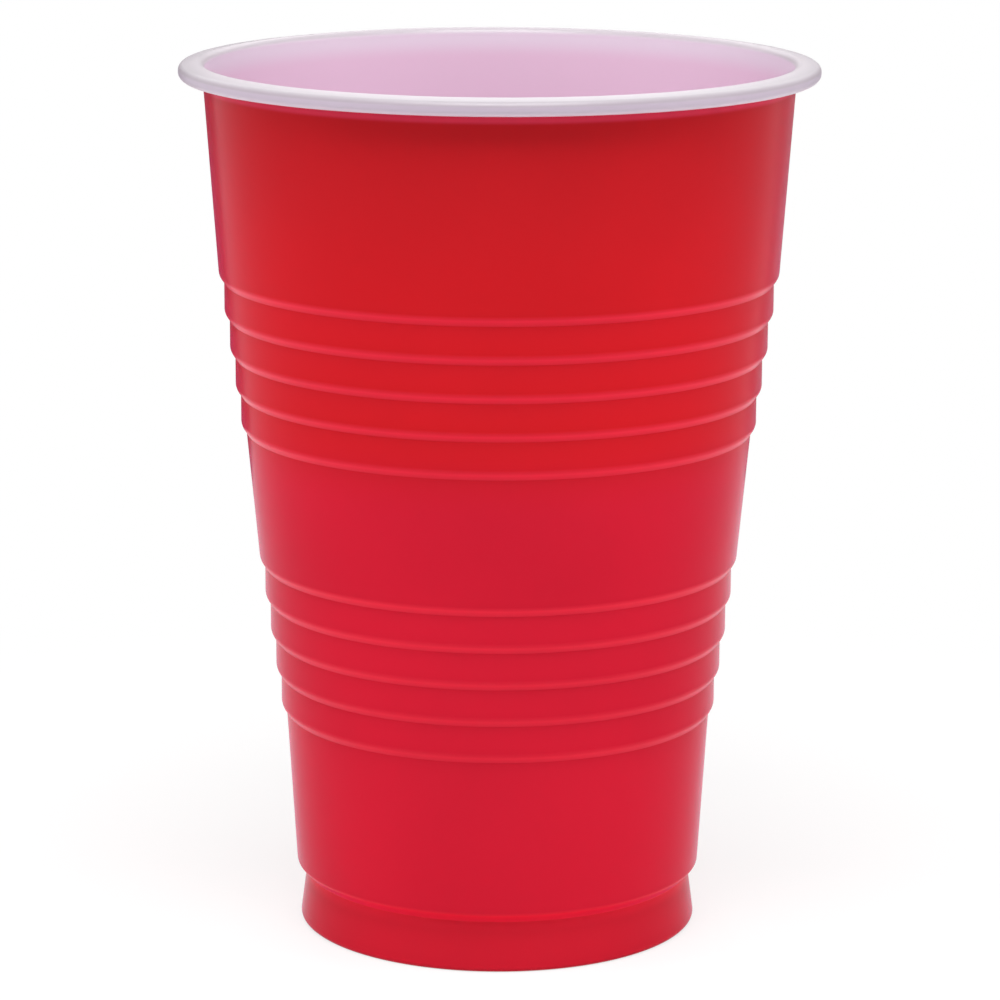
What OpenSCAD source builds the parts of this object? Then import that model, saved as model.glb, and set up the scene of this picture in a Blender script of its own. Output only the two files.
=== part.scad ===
// Stepped drinking cup, formed in one piece from a thin plastic sheet.
// One chain of corners follows the sheet's outer face: from the middle of the base, round the foot,
// up the stepped wall and over the rolled rim. The sheet's section is revolved about the cup's axis.
// The cup stands on Z = 0 with its axis on Z.

/* [Cup] */
// Height from the table to the top of the rim
cup_h = 125; // [115:1:140]
// Thickness of the sheet
wall = 0.4; // [0.3:0.05:0.6]

/* [Rim] */
// Outer diameter of the rolled rim
rim_d = 90.3; // [89:0.1:94]
// Height of the rim's outer band
rim_band_h = 2; // [1.6:0.1:3.2]
// Inside radius of the bend that turns the wall out into the rim
lip_bend = 0.6; // [0.3:0.05:0.9]
// Inside radius of the two bends at the rim's outer edge, as far as the band's height allows
rim_bend = 0.5; // [0.1:0.05:0.55]
// Fall of the rim's top towards its outer edge, in degrees
rim_fall = 8; // [0:1:12]
// Width of the edge that is turned in under the rim
rim_return = 1.6; // [0.8:0.1:2]

/* [Wall] */
// Outer diameter of the upper wall where its line reaches the cup's height
mouth_d = 83.8; // [81:0.1:84.8]
// Outer diameter at the lower edge of the upper wall
upper_d = 79.5; // [77:0.1:82]
// Outer diameter at the lower edge of the middle wall
middle_d = 68.6; // [66:0.1:71]
// Outer diameter at the lower edge of the lower wall
lower_d = 58.4; // [56.5:0.1:60.5]
// Height of the middle wall, between the two groups of steps
middle_h = 19.6; // [12:0.1:26]
// Height of the lower wall, between the lower steps and the foot
lower_h = 23.9; // [15:0.1:28]

/* [Steps] */
// Number of steps in each group
steps = 5; // [3:1:6]
// Height from one step to the next
step_pitch = 5.4; // [4:0.1:6]
// Distance that each step goes in
step_inset = 0.74; // [0.4:0.01:0.95]
// Slope of the steps' undersides, in degrees from level
step_slope = 56; // [45:1:64]
// Inside radius of the round lower edge of each step
step_bend = 1; // [0.1:0.05:1.4]
// Inside radius of the corner under each step
corner_bend = 0.2; // [0.1:0.05:0.4]

/* [Foot] */
// Outer diameter of the foot where it meets the table
foot_d = 57.5; // [56:0.1:59]
// Height of the foot
foot_h = 7.2; // [5:0.1:10]
// Distance that the wall goes in above the foot
foot_inset = 1.4; // [0.6:0.05:2]
// Slope of the underside above the foot, in degrees from level
foot_slope = 44; // [35:1:60]
// Inside radius of the wall's round lower edge above the foot
foot_edge_bend = 0.4; // [0.1:0.05:0.6]
// Width of the foot's ring on the table
foot_w = 3.2; // [2.6:0.1:4.5]
// Diameter of the flat panel inside the foot
panel_d = 48; // [40:0.5:49]
// Height of that panel's underside above the table
panel_h = 3; // [1.5:0.1:4.5]
// Inside radius of the bends in the foot and round the panel
foot_bend = 0.2; // [0.1:0.05:0.5]

/* [Hidden] */
// Fineness of the revolved faces
$fa = 3;
$fs = 0.3;
// Largest turn between two neighbouring points of a bend, in degrees
bend_turn = 15;

// Rise of the sloped underside of a step, and of the one above the foot
step_rise = step_inset * tan(step_slope);
foot_rise = foot_inset * tan(foot_slope);

// Heights of the lowest corner in each group of steps, and of the upper wall's lower edge
group_h = (steps - 1) * step_pitch;
lower_group_z = foot_h + lower_h;
upper_group_z = lower_group_z + group_h + middle_h;
upper_wall_z = upper_group_z + group_h + step_rise;

// One bend of the rim's outer band takes at most this share of the band's inner height
bend_share = 0.48;
rim_round = min(rim_bend, bend_share * (rim_band_h - 2 * wall));

// The rim's underside leaves the line of the leaning upper wall at the lip, falls to the outer edge,
// goes down the outer band and turns in at its foot
wall_lean = atan((mouth_d - upper_d) / 2 / (cup_h - upper_wall_z));
lip_turn = 90 - wall_lean + rim_fall;
lip_centre_z = cup_h - wall - lip_bend;
lip_z = lip_centre_z + lip_bend * (tan(lip_turn / 2) * cos(wall_lean) + sin(wall_lean));
lip_r = mouth_d / 2 - (cup_h - lip_z) * tan(wall_lean);
edge_r = rim_d / 2 - wall;
edge_z = lip_z - (edge_r - lip_r) * tan(rim_fall);
return_z = edge_z - rim_band_h + 2 * wall;

// Corners are listed as [radius, height, inside radius of the bend]
base_corners = [
    [0, panel_h, 0],
    [panel_d / 2, panel_h, foot_bend],
    [foot_d / 2 - foot_w, 0, foot_bend],
    [foot_d / 2, 0, foot_bend],
    [lower_d / 2 - foot_inset, foot_h, corner_bend],
    [lower_d / 2, foot_h + foot_rise, foot_edge_bend]
];
rim_corners = [
    [lip_r, lip_z, lip_bend],
    [edge_r, edge_z, rim_round],
    [edge_r, return_z, rim_round],
    [edge_r - rim_return, return_z, 0]
];

// Corners of one group of steps from the lowest up, under a wall that ends at radius wall_r
function step_corners(wall_r, low_z) = [
    for (k = [0 : steps - 1])
        let (r = wall_r - (steps - k) * step_inset, z = low_z + k * step_pitch)
            each [[r, z, corner_bend], [r + step_inset, z + step_rise, step_bend]]
];

corners = concat(
    base_corners,
    step_corners(middle_d / 2, lower_group_z),
    step_corners(upper_d / 2, upper_group_z),
    rim_corners
);
last = len(corners) - 1;

function unit(v) = v / norm(v);
function left_of(v) = [-v[1], v[0]];
function turned(v, angle) = [v[0] * cos(angle) - v[1] * sin(angle), v[0] * sin(angle) + v[1] * cos(angle)];
function reversed(list) = [for (i = [len(list) - 1 : -1 : 0]) list[i]];
function point(i) = [corners[i][0], corners[i][1]];
function heading(i) = unit(point(i + 1) - point(i));

// Arc round corner i, on the face that lies at this depth in the sheet.
// The outer face is the inside of a bend to the right and the outside of a bend to the left.
function bend(i, depth) =
    let (
        from = heading(i - 1),
        to = heading(i),
        turn = atan2(cross(from, to), from * to),
        side = turn > 0 ? 1 : -1,
        radius = corners[i][2] + (turn > 0 ? wall : 0),
        start = point(i) - from * radius * tan(abs(turn) / 2),
        centre = start + side * radius * left_of(from),
        parts = max(1, ceil(abs(turn) / bend_turn))
    )
    [for (k = [0 : parts]) centre - (side * radius - depth) * turned(left_of(from), turn * k / parts)];

// The whole outline of the face at this depth, from the axis to the turned-in edge of the rim
function face(depth) = concat(
    [point(0) + depth * left_of(heading(0))],
    [for (i = [1 : last - 1]) each bend(i, depth)],
    [point(last) + depth * left_of(heading(last - 1))]
);

module cup() {
    color("crimson")
        rotate_extrude()
            polygon(concat(face(0), reversed(face(wall))));
}

cup();
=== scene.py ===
"""Looks of a stepped plastic drinking cup, red outside and white inside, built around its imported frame."""

import math

import bpy
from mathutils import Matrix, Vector


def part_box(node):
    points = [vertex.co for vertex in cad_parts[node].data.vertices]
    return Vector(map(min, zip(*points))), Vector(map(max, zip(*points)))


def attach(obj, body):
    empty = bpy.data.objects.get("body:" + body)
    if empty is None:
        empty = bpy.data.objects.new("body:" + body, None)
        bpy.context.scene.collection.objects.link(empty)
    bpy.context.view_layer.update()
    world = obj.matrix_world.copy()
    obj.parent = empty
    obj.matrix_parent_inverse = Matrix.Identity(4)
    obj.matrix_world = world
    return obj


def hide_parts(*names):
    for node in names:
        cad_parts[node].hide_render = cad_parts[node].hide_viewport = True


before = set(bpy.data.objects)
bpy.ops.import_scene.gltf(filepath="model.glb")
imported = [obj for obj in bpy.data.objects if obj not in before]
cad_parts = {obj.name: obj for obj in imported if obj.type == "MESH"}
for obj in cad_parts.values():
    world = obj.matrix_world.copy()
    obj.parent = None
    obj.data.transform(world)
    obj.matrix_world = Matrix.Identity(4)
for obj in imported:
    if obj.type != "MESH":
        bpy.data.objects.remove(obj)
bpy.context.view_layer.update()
cup_low, cup_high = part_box("cup")

MM = 0.001

# Sizes of the cup in millimetres, the same as the solid's
CUP_H = (cup_high.z - cup_low.z) / MM
RIM_D = (cup_high.x - cup_low.x) / MM
WALL = 0.4
RIM_BAND_H = 2.0
LIP_BEND = 0.6
RIM_BEND = 0.5
RIM_FALL = math.radians(8)
RIM_RETURN = 1.6
MOUTH_D = 83.8
UPPER_D = 79.5
MIDDLE_D = 68.6
LOWER_D = 58.4
MIDDLE_H = 19.6
LOWER_H = 23.9
STEPS = 5
STEP_PITCH = 5.4
STEP_INSET = 0.74
STEP_SLOPE = math.radians(56)
STEP_BEND = 1.0
CORNER_BEND = 0.2
FOOT_D = 57.5
FOOT_H = 7.2
FOOT_INSET = 1.4
FOOT_SLOPE = math.radians(44)
FOOT_EDGE_BEND = 0.4
FOOT_W = 3.2
PANEL_D = 48.0
PANEL_H = 3.0
FOOT_BEND = 0.2

# Fineness of the mesh: points round the axis, and the largest turn between two points of a bend
SEGMENTS = 240
BEND_TURN = math.radians(11)
# Points closer to the axis than this, in millimetres, lie on it
AXIS_REACH = 1e-6
# Painted highlight on the underside of a step, for the light it catches from below: its share at the two ends
# of the bends below and above the underside; the small share at the lower end also lightens the top of the
# wall beneath, as painted light against the shade under the step
STEP_HIGHLIGHT = {"under": (0.1, 0.55), "edge": (1.0, 0.0)}
# Places of the two materials on the mesh
RED, WHITE = 0, 1
# Places of the colour sockets on a Mix node: the two inputs and the output
MIX_FIRST, MIX_SECOND, MIX_RESULT = 6, 7, 2

# Colours of the red face, from the foot up to the corner under the rim
# Painted shade on the foot, and painted light on the top of the foot against the shadow under the step above
# it
RED_FOOT_SHADE = (0.492, 0.0093, 0.0230)
RED_FOOT_TOP_LIGHT = (0.64, 0.0135, 0.0325)
RED_LOWER = (0.545, 0.0086, 0.0262)
RED_UPPER = (0.544, 0.0088, 0.0138)
# Painted shade under the rim, fading out downwards
RED_UNDER_RIM_SHADE = (0.500, 0.0096, 0.0143)
RED_CORNER = (0.70, 0.036, 0.080)
# Colours of the painted highlight on the undersides of the steps, and on the one above the foot
RED_STEP_HIGHLIGHT = (0.785, 0.0210, 0.0470)
RED_FOOT_STEP_HIGHLIGHT = (0.85, 0.0150, 0.0340)
# How much of the painted highlight colour the lowest step shows; the steps of the upper group show all of it
LOW_STEP_HIGHLIGHT = 0.68
RED_ROUGHNESS = 0.22
RED_GLOSS = 0.045
RED_SHEEN = 0.09
RED_SHEEN_ROUGHNESS = 0.35
RED_SHEEN_TINT = (0.9, 0.1, 1.0, 1)

# Colours of the white face: the rim's crest, lighter as a painted highlight, its top, its edge, darker as
# painted shade in the bend, its side and underside, then down inside the cup
WHITE_CREST_HIGHLIGHT = (0.47, 0.426, 0.462)
WHITE_TOP = (0.405, 0.368, 0.402)
WHITE_EDGE_SHADE = (0.366, 0.315, 0.358)
WHITE_BAND = (0.470, 0.393, 0.478)
WHITE_UNDER = (0.64, 0.54, 0.63)
# Inside, pink from the red under the thin white layer; further down it is pinker still as painted light
# through the red wall, which the curl keeps off the band under the lip
WHITE_LIP = (0.70, 0.588, 0.69)
WHITE_DEEP = (0.685, 0.472, 0.610)
WHITE_ROUGHNESS = 0.35
WHITE_GLOSS = 0.45

# Heights in millimetres over which one colour goes into the next
FOOT_BLEND = (FOOT_H - 1.8, FOOT_H)
FOOT_STEP_BLEND = (FOOT_H - 0.2, FOOT_H + 0.6)
FOOT_HIGHLIGHT_BLEND = (12.0, 20.0)
STEP_HIGHLIGHT_BLEND = (20.0, 75.0)
UPPER_BLEND = (66.0, 78.0)
UNDER_RIM_BLEND = (95.0, 113.0)
CORNER_BLEND = (CUP_H - 3.9, CUP_H - 3.2)
WHITE_LIP_BLEND = (CUP_H - 0.4, CUP_H - 1.0)
WHITE_DEEP_BLEND = (CUP_H - 1.5, CUP_H - 4.5)
# The rim's band value is 0 on its top, 1 on its side and 2 on its underside
RIM_EDGE_BLEND = (0.08, 0.6)
RIM_SIDE_BLEND = (0.6, 1.0)
RIM_UNDER_BLEND = (1.0, 1.8)
ON_RIM_BLEND = (0.0, 0.01)

# Unevenness of the drawn sheet: scales of the noise per metre, its detail, and how far it goes
NOISE_SPAN = (0.3, 0.7)
CLOUD_DETAIL = 1.0
COLOUR_SCALE = 40.0
COLOUR_SPREAD = 0.025
GLOSS_SCALE = 60.0
GLOSS_SPREAD = 0.02
WAVE_SCALE = 130.0
WAVE_DETAIL = 0.0
WAVE_STRENGTH = 0.03
WAVE_HEIGHT = 0.0002

# Floor and cards, in metres: the cards stand behind the cup as (left end, right end, grey),
# and the bright strip stands further back and higher
FLOOR_COLOUR = (0.85, 0.85, 0.85, 1)
FLOOR_HALF = 6.0
FLOOR_Z = -0.00005
SHADOW_REACH = (0.05, 0.19)
SHADOW_SHARE = 0.3
LEFT_CARD = (-0.210, 0.0, 0.08)
RIGHT_CARD = (0.0, 0.250, 0.32)
CARD_Y = 0.25
CARD_LOW = 0.004
CARD_HIGH = 0.21
CARD_ROUGHNESS = 0.9
STRIP_HALF = 0.40
STRIP_Y = 0.60
STRIP_LOW = 0.36
STRIP_HIGH = 0.75
STRIP_GLOW = 2.0

# Light: the world's level, and the softboxes as (name, place, aim, width, height, watts, seen in the gloss)
WORLD_LIGHT = 0.27
SOFTBOXES = [
    ("top_softbox", (0.0, -0.28, 0.66), (0.0, 0.0, 0.08), 0.5, 0.4, 4.7, True),
    ("left_softbox", (-0.70, -0.1, 0.40), (0.0, 0.0, 0.06), 0.5, 0.5, 2.3, False),
    ("right_softbox", (0.70, -0.1, 0.40), (0.0, 0.0, 0.06), 0.5, 0.5, 2.25, False),
    ("back_softbox", (0.0, 0.75, 0.42), (0.0, 0.0, 0.08), 0.6, 0.5, 2.6, False),
]

# Camera, as fitted to the photograph
CAMERA_PLACE = (0.0, -0.600, 0.1948)
CAMERA_PITCH = math.radians(12.515)
CAMERA_ROLL = math.radians(0.182)
CAMERA_SENSOR = 36.0
CAMERA_LENS = 153.87
CAMERA_SHIFT_X = 0.00163
CAMERA_CLIP = (0.01, 50.0)


def corner_chain():
    """Corners of the sheet's red face, from the axis to the rim's edge.

    Each is (radius, height, inside radius of its bend, kind)."""
    step_rise = STEP_INSET * math.tan(STEP_SLOPE)
    foot_rise = FOOT_INSET * math.tan(FOOT_SLOPE)
    group_h = (STEPS - 1) * STEP_PITCH
    lower_group_z = FOOT_H + LOWER_H
    upper_group_z = lower_group_z + group_h + MIDDLE_H
    upper_wall_z = upper_group_z + group_h + step_rise

    lean = math.atan((MOUTH_D - UPPER_D) / 2 / (CUP_H - upper_wall_z))
    lip_turn = math.pi / 2 - lean + RIM_FALL
    lip_z = CUP_H - WALL - LIP_BEND
    lip_z += LIP_BEND * (math.tan(lip_turn / 2) * math.cos(lean) + math.sin(lean))
    lip_r = MOUTH_D / 2 - (CUP_H - lip_z) * math.tan(lean)
    edge_r = RIM_D / 2 - WALL
    edge_z = lip_z - (edge_r - lip_r) * math.tan(RIM_FALL)
    return_z = edge_z - RIM_BAND_H + 2 * WALL

    corners = [
        (0.0, PANEL_H, 0.0, "base"),
        (PANEL_D / 2, PANEL_H, FOOT_BEND, "base"),
        (FOOT_D / 2 - FOOT_W, 0.0, FOOT_BEND, "base"),
        (FOOT_D / 2, 0.0, FOOT_BEND, "base"),
        (LOWER_D / 2 - FOOT_INSET, FOOT_H, CORNER_BEND, "under"),
        (LOWER_D / 2, FOOT_H + foot_rise, FOOT_EDGE_BEND, "edge"),
    ]
    for wall_r, low_z in ((MIDDLE_D / 2, lower_group_z), (UPPER_D / 2, upper_group_z)):
        for k in range(STEPS):
            r = wall_r - (STEPS - k) * STEP_INSET
            z = low_z + k * STEP_PITCH
            corners.append((r, z, CORNER_BEND, "under"))
            corners.append((r + STEP_INSET, z + step_rise, STEP_BEND, "edge"))
    corners += [
        (lip_r, lip_z, LIP_BEND, "rim"),
        (edge_r, edge_z, RIM_BEND, "rim"),
        (edge_r, return_z, RIM_BEND, "rim"),
        (edge_r - RIM_RETURN, return_z, 0.0, "rim"),
    ]
    return corners


def left_of(v):
    return Vector((-v.y, v.x))


def turned(v, angle):
    c, s = math.cos(angle), math.sin(angle)
    return Vector((v.x * c - v.y * s, v.x * s + v.y * c))


def face_line(corners, depth):
    """Points of the sheet's face at this depth.

    Each is (place, direction across the sheet towards the white face, share of the painted highlight on a
    step's underside from 0 to 1)."""
    points = [Vector(c[:2]) for c in corners]
    headings = [(b - a).normalized() for a, b in zip(points, points[1:])]
    line = [(points[0] + depth * left_of(headings[0]), left_of(headings[0]), 0.0)]
    for i in range(1, len(points) - 1):
        before, after = headings[i - 1], headings[i]
        turn = math.atan2(before.x * after.y - before.y * after.x, before.dot(after))
        side = 1 if turn > 0 else -1
        radius = corners[i][2] + (WALL if turn > 0 else 0)
        start = points[i] - before * radius * math.tan(abs(turn) / 2)
        centre = start + side * radius * left_of(before)
        parts = max(1, math.ceil(abs(turn) / BEND_TURN))
        for k in range(parts + 1):
            across = turned(left_of(before), turn * k / parts)
            low, high = STEP_HIGHLIGHT.get(corners[i][3], (0.0, 0.0))
            step_highlight = low + (high - low) * k / parts
            line.append((centre - (side * radius - depth) * across, across, step_highlight))
    line.append((points[-1] + depth * left_of(headings[-1]), left_of(headings[-1]), 0.0))
    return line


def cup_section():
    """The sheet's closed section: its points, two values at each of them, and its edges.

    Each edge is (first point, second point, normal at the first, normal at the second, material)."""
    corners = corner_chain()
    red = face_line(corners, 0.0)
    white = face_line(corners, WALL)[::-1]
    both = red + white
    lip_r = max(place.x for place, across, step_highlight in white if across.x <= 0)
    values = {
        "step_highlight": [step_highlight for place, across, step_highlight in both],
        "band": [1 - across.y if place.x > lip_r else 0.0 for place, across, step_highlight in both],
    }
    edges = [(k, k + 1, -red[k][1], -red[k + 1][1], RED) for k in range(len(red) - 1)]
    cut = (red[-1][0] - red[-2][0]).normalized()
    edges.append((len(red) - 1, len(red), cut, cut, WHITE))
    for k in range(len(white) - 1):
        edges.append((len(red) + k, len(red) + k + 1, white[k][1], white[k + 1][1], WHITE))
    return [place for place, across, step_highlight in both], values, edges


def around(radius, height, turn):
    """Place at this radius and height, turned about the axis by this many parts of the mesh."""
    angle = 2 * math.pi * turn / SEGMENTS
    return radius * math.cos(angle), radius * math.sin(angle), height


def build_cup(materials):
    """The sheet's section turned about the axis, with the true normals of every bend."""
    points, values, edges = cup_section()
    vertices, rings = [], []
    for p in points:
        first = len(vertices)
        count = 1 if p.x < AXIS_REACH else SEGMENTS
        vertices += [around(p.x * MM, p.y * MM, s) for s in range(count)]
        rings.append([first + s % count for s in range(SEGMENTS)])

    faces, normals, indices = [], [], []
    for first, second, first_normal, second_normal, index in edges:
        for s in range(SEGMENTS):
            t = (s + 1) % SEGMENTS
            face = []
            for point, turn in ((first, s), (first, t), (second, t), (second, s)):
                vertex = rings[point][turn]
                if vertex in face:
                    continue
                normal = first_normal if point == first else second_normal
                face.append(vertex)
                normals.append(around(normal.x, normal.y, turn))
            faces.append(face)
            indices.append(index)

    mesh = bpy.data.meshes.new("cup_body")
    mesh.from_pydata(vertices, [], faces)
    for material in materials:
        mesh.materials.append(material)
    mesh.polygons.foreach_set("material_index", indices)
    mesh.polygons.foreach_set("use_smooth", [True] * len(faces))
    mesh.normals_split_custom_set(normals)
    for name, at_points in values.items():
        layer = mesh.attributes.new(name, "FLOAT", "POINT")
        for ring, value in zip(rings, at_points):
            for vertex in ring:
                layer.data[vertex].value = value
    mesh.update()
    return linked_object("cup_body", mesh)


def linked_object(name, data):
    obj = bpy.data.objects.new(name, data)
    bpy.context.scene.collection.objects.link(obj)
    return obj


def new_material(name):
    material = bpy.data.materials.new(name)
    material.use_nodes = True
    return material, material.node_tree, material.node_tree.nodes["Principled BSDF"]


def value_node(tree, kind, **inputs):
    node = tree.nodes.new(kind)
    for name, value in inputs.items():
        node.inputs[name.replace("_", " ")].default_value = value
    return node


def place_on_object(tree):
    """The place on the object, and its height."""
    place = tree.nodes.new("ShaderNodeTexCoord").outputs["Object"]
    split = tree.nodes.new("ShaderNodeSeparateXYZ")
    tree.links.new(place, split.inputs[0])
    return place, split.outputs["Z"]


def attribute(tree, name):
    node = tree.nodes.new("ShaderNodeAttribute")
    node.attribute_name = name
    return node.outputs["Fac"]


def mixed(tree, factor, first, second):
    """Colour that goes from first to second with factor; each is a colour or an output."""
    mix = tree.nodes.new("ShaderNodeMix")
    mix.data_type = "RGBA"
    tree.links.new(factor, mix.inputs["Factor"])
    for value, socket in ((first, mix.inputs[MIX_FIRST]), (second, mix.inputs[MIX_SECOND])):
        if isinstance(value, tuple):
            socket.default_value = (*value, 1)
        else:
            tree.links.new(value, socket)
    return mix.outputs[MIX_RESULT]


def ranged(tree, value, span, to_low=0.0, to_high=1.0):
    """Value that goes smoothly from to_low to to_high as the input goes over the span."""
    low, high = span
    node = value_node(tree, "ShaderNodeMapRange", From_Min=low, From_Max=high, To_Min=to_low, To_Max=to_high)
    node.interpolation_type = "SMOOTHSTEP"
    tree.links.new(value, node.inputs["Value"])
    return node.outputs[0]


def over_height(tree, height, span, to_low=0.0, to_high=1.0):
    """The same over a span of heights in millimetres."""
    return ranged(tree, height, (span[0] * MM, span[1] * MM), to_low, to_high)


def maths(tree, operation, first, second):
    node = tree.nodes.new("ShaderNodeMath")
    node.operation = operation
    tree.links.new(first, node.inputs[0])
    tree.links.new(second, node.inputs[1])
    return node.outputs[0]


def noise(tree, place, scale, detail):
    node = value_node(tree, "ShaderNodeTexNoise", Scale=scale, Detail=detail)
    tree.links.new(place, node.inputs["Vector"])
    return node.outputs[0]


def add_skin(tree, shader, place, roughness):
    """Soft waves and uneven gloss of drawn sheet plastic."""
    gloss = noise(tree, place, GLOSS_SCALE, CLOUD_DETAIL)
    uneven = ranged(tree, gloss, NOISE_SPAN, roughness - GLOSS_SPREAD, roughness + GLOSS_SPREAD)
    tree.links.new(uneven, shader.inputs["Roughness"])
    bump = value_node(tree, "ShaderNodeBump", Strength=WAVE_STRENGTH, Distance=WAVE_HEIGHT)
    tree.links.new(noise(tree, place, WAVE_SCALE, WAVE_DETAIL), bump.inputs["Height"])
    tree.links.new(bump.outputs[0], shader.inputs["Normal"])


def red_plastic():
    """Red face of the sheet: painted shade under the rim and on the foot, painted light on the top of the
    foot, and a painted highlight on the undersides of the steps.
    """
    material, tree, shader = new_material("red_plastic")
    place, height = place_on_object(tree)
    # Painted shade on the foot, lighter at its top as painted light against the shadow under the step above
    # it
    wall = mixed(tree, over_height(tree, height, FOOT_BLEND), RED_FOOT_SHADE, RED_FOOT_TOP_LIGHT)
    # The colour under the rim is painted shade
    for span, colour in (
        (FOOT_STEP_BLEND, RED_LOWER),
        (UPPER_BLEND, RED_UPPER),
        (UNDER_RIM_BLEND, RED_UNDER_RIM_SHADE),
        (CORNER_BLEND, RED_CORNER),
    ):
        wall = mixed(tree, over_height(tree, height, span), wall, colour)

    # Painted highlight on the undersides of the steps and of the step above the foot, fainter on the lower
    # steps
    highlight_colour = mixed(tree, over_height(tree, height, FOOT_HIGHLIGHT_BLEND), RED_FOOT_STEP_HIGHLIGHT, RED_STEP_HIGHLIGHT)
    share = over_height(tree, height, STEP_HIGHLIGHT_BLEND, LOW_STEP_HIGHLIGHT, 1.0)
    pale = maths(tree, "MULTIPLY", attribute(tree, "step_highlight"), share)
    uneven = tree.nodes.new("ShaderNodeHueSaturation")
    tree.links.new(mixed(tree, pale, wall, highlight_colour), uneven.inputs["Color"])
    clouds = noise(tree, place, COLOUR_SCALE, CLOUD_DETAIL)
    level = ranged(tree, clouds, NOISE_SPAN, 1 - COLOUR_SPREAD, 1 + COLOUR_SPREAD)
    tree.links.new(level, uneven.inputs["Value"])
    tree.links.new(uneven.outputs[0], shader.inputs["Base Color"])
    add_skin(tree, shader, place, RED_ROUGHNESS)
    shader.inputs["Specular IOR Level"].default_value = RED_GLOSS
    shader.inputs["Sheen Weight"].default_value = RED_SHEEN
    shader.inputs["Sheen Roughness"].default_value = RED_SHEEN_ROUGHNESS
    shader.inputs["Sheen Tint"].default_value = RED_SHEEN_TINT
    return material


def white_plastic():
    """White face of the sheet: a little grey on the rim, with a painted highlight on its crest and painted
    shade in its outer bend, and pinker further down, from the red under it and from painted light through the
    red wall.
    """
    material, tree, shader = new_material("white_plastic")
    place, height = place_on_object(tree)
    band = attribute(tree, "band")
    # Painted shade in the rim's outer bend
    rim = mixed(tree, ranged(tree, band, RIM_EDGE_BLEND), WHITE_TOP, WHITE_EDGE_SHADE)
    rim = mixed(tree, ranged(tree, band, RIM_SIDE_BLEND), rim, WHITE_BAND)
    rim = mixed(tree, ranged(tree, band, RIM_UNDER_BLEND), rim, WHITE_UNDER)
    # Pinker further down as painted light through the red wall
    inside = mixed(tree, over_height(tree, height, WHITE_DEEP_BLEND), WHITE_LIP, WHITE_DEEP)
    # Painted highlight on the crest
    inside = mixed(tree, over_height(tree, height, WHITE_LIP_BLEND), WHITE_CREST_HIGHLIGHT, inside)
    tree.links.new(mixed(tree, ranged(tree, band, ON_RIM_BLEND), inside, rim), shader.inputs["Base Color"])
    add_skin(tree, shader, place, WHITE_ROUGHNESS)
    shader.inputs["Specular IOR Level"].default_value = WHITE_GLOSS
    return material


def background_rays(tree):
    """1 on rays that see the background: from the camera, by reflection or through glass."""
    path = tree.nodes.new("ShaderNodeLightPath")
    seen = path.outputs["Is Camera Ray"]
    for name in ("Is Glossy Ray", "Is Transmission Ray"):
        seen = maths(tree, "MAXIMUM", seen, path.outputs[name])
    return seen


def build_floor():
    """Pale floor that is white in the background and keeps the cup's shadow near it."""
    mesh = bpy.data.meshes.new("floor")
    corners = [(-1, -1), (1, -1), (1, 1), (-1, 1)]
    mesh.from_pydata([(x * FLOOR_HALF, y * FLOOR_HALF, FLOOR_Z) for x, y in corners], [], [(0, 1, 2, 3)])
    floor = linked_object("floor", mesh)
    material, tree, shader = new_material("pale_floor")
    tree.nodes.remove(shader)
    diffuse = value_node(tree, "ShaderNodeBsdfDiffuse", Color=FLOOR_COLOUR)
    glow = tree.nodes.new("ShaderNodeEmission")
    distance = tree.nodes.new("ShaderNodeVectorMath")
    distance.operation = "LENGTH"
    tree.links.new(tree.nodes.new("ShaderNodeTexCoord").outputs["Object"], distance.inputs[0])
    white = ranged(tree, distance.outputs["Value"], SHADOW_REACH, 1 - SHADOW_SHARE, 1.0)
    mix = tree.nodes.new("ShaderNodeMixShader")
    tree.links.new(maths(tree, "MULTIPLY", white, background_rays(tree)), mix.inputs["Fac"])
    tree.links.new(diffuse.outputs[0], mix.inputs[1])
    tree.links.new(glow.outputs[0], mix.inputs[2])
    tree.links.new(mix.outputs[0], tree.nodes["Material Output"].inputs["Surface"])
    mesh.materials.append(material)


def stand_behind(name, material, left, right, y, low, high):
    """Upright rectangle behind the cup that only reflections see."""
    mesh = bpy.data.meshes.new(name)
    corners = [(left, low), (right, low), (right, high), (left, high)]
    mesh.from_pydata([(x, y, z) for x, z in corners], [], [(0, 1, 2, 3)])
    card = linked_object(name, mesh)
    mesh.materials.append(material)
    card.visible_camera = False
    card.visible_diffuse = False
    card.visible_transmission = False
    card.visible_shadow = False


def build_card(name, left, right, grey):
    """Card behind the cup, seen only in the reflections at the edges of its upper wall and rim."""
    material, tree, shader = new_material(name)
    shader.inputs["Base Color"].default_value = (grey, grey, grey, 1)
    shader.inputs["Roughness"].default_value = CARD_ROUGHNESS
    stand_behind(name, material, left, right, CARD_Y, CARD_LOW, CARD_HIGH)


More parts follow.
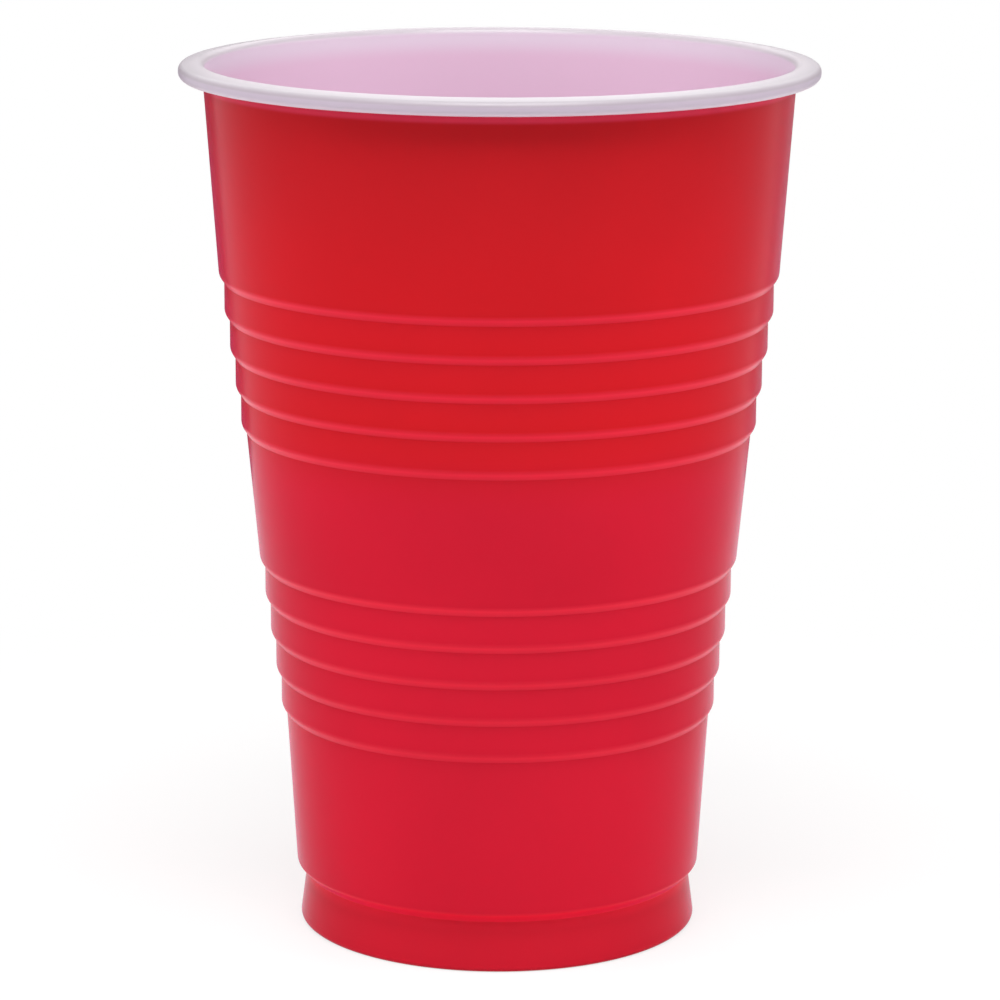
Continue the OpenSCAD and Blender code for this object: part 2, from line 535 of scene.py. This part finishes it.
def build_strip():
    """Bright strip behind and above the cup, seen only in the gloss on the rim's front and back."""
    material, tree, shader = new_material("strip")
    tree.nodes.remove(shader)
    glow = value_node(tree, "ShaderNodeEmission", Strength=STRIP_GLOW)
    tree.links.new(glow.outputs[0], tree.nodes["Material Output"].inputs["Surface"])
    stand_behind("strip", material, -STRIP_HALF, STRIP_HALF, STRIP_Y, STRIP_LOW, STRIP_HIGH)


def build_world():
    """Even light on the cup from all round, and a white background."""
    world = bpy.data.worlds.new("studio")
    bpy.context.scene.world = world
    world.use_nodes = True
    tree = world.node_tree
    background = tree.nodes["Background"]
    background.inputs["Color"].default_value = (1, 1, 1, 1)
    strength = ranged(tree, background_rays(tree), (0.0, 1.0), WORLD_LIGHT, 1.0)
    tree.links.new(strength, background.inputs["Strength"])


def build_softbox(name, place, aim, width, height, watts, in_gloss):
    """Rectangular lamp that lights the cup and may also show in its gloss."""
    data = bpy.data.lights.new(name, "AREA")
    data.shape = "RECTANGLE"
    data.size, data.size_y = width, height
    data.energy = watts
    lamp = linked_object(name, data)
    lamp.location = place
    lamp.rotation_euler = (Vector(aim) - Vector(place)).to_track_quat("-Z", "Y").to_euler()
    lamp.visible_glossy = in_gloss


def build_camera():
    data = bpy.data.cameras.new("camera")
    data.sensor_width = CAMERA_SENSOR
    data.lens = CAMERA_LENS
    data.shift_x = CAMERA_SHIFT_X
    data.clip_start, data.clip_end = CAMERA_CLIP
    camera = linked_object("camera", data)
    camera.location = CAMERA_PLACE
    camera.rotation_mode = "XYZ"
    camera.rotation_euler = (math.pi / 2 - CAMERA_PITCH, 0, 0)
    camera.rotation_euler.rotate_axis("Z", CAMERA_ROLL)
    bpy.context.scene.camera = camera


cup = build_cup([red_plastic(), white_plastic()])
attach(cup, "root")
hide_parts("cup")

build_floor()
build_card("left_card", *LEFT_CARD)
build_card("right_card", *RIGHT_CARD)
build_strip()
build_world()
for box in SOFTBOXES:
    build_softbox(*box)
build_camera()
bpy.context.scene.view_settings.view_transform = "Standard"
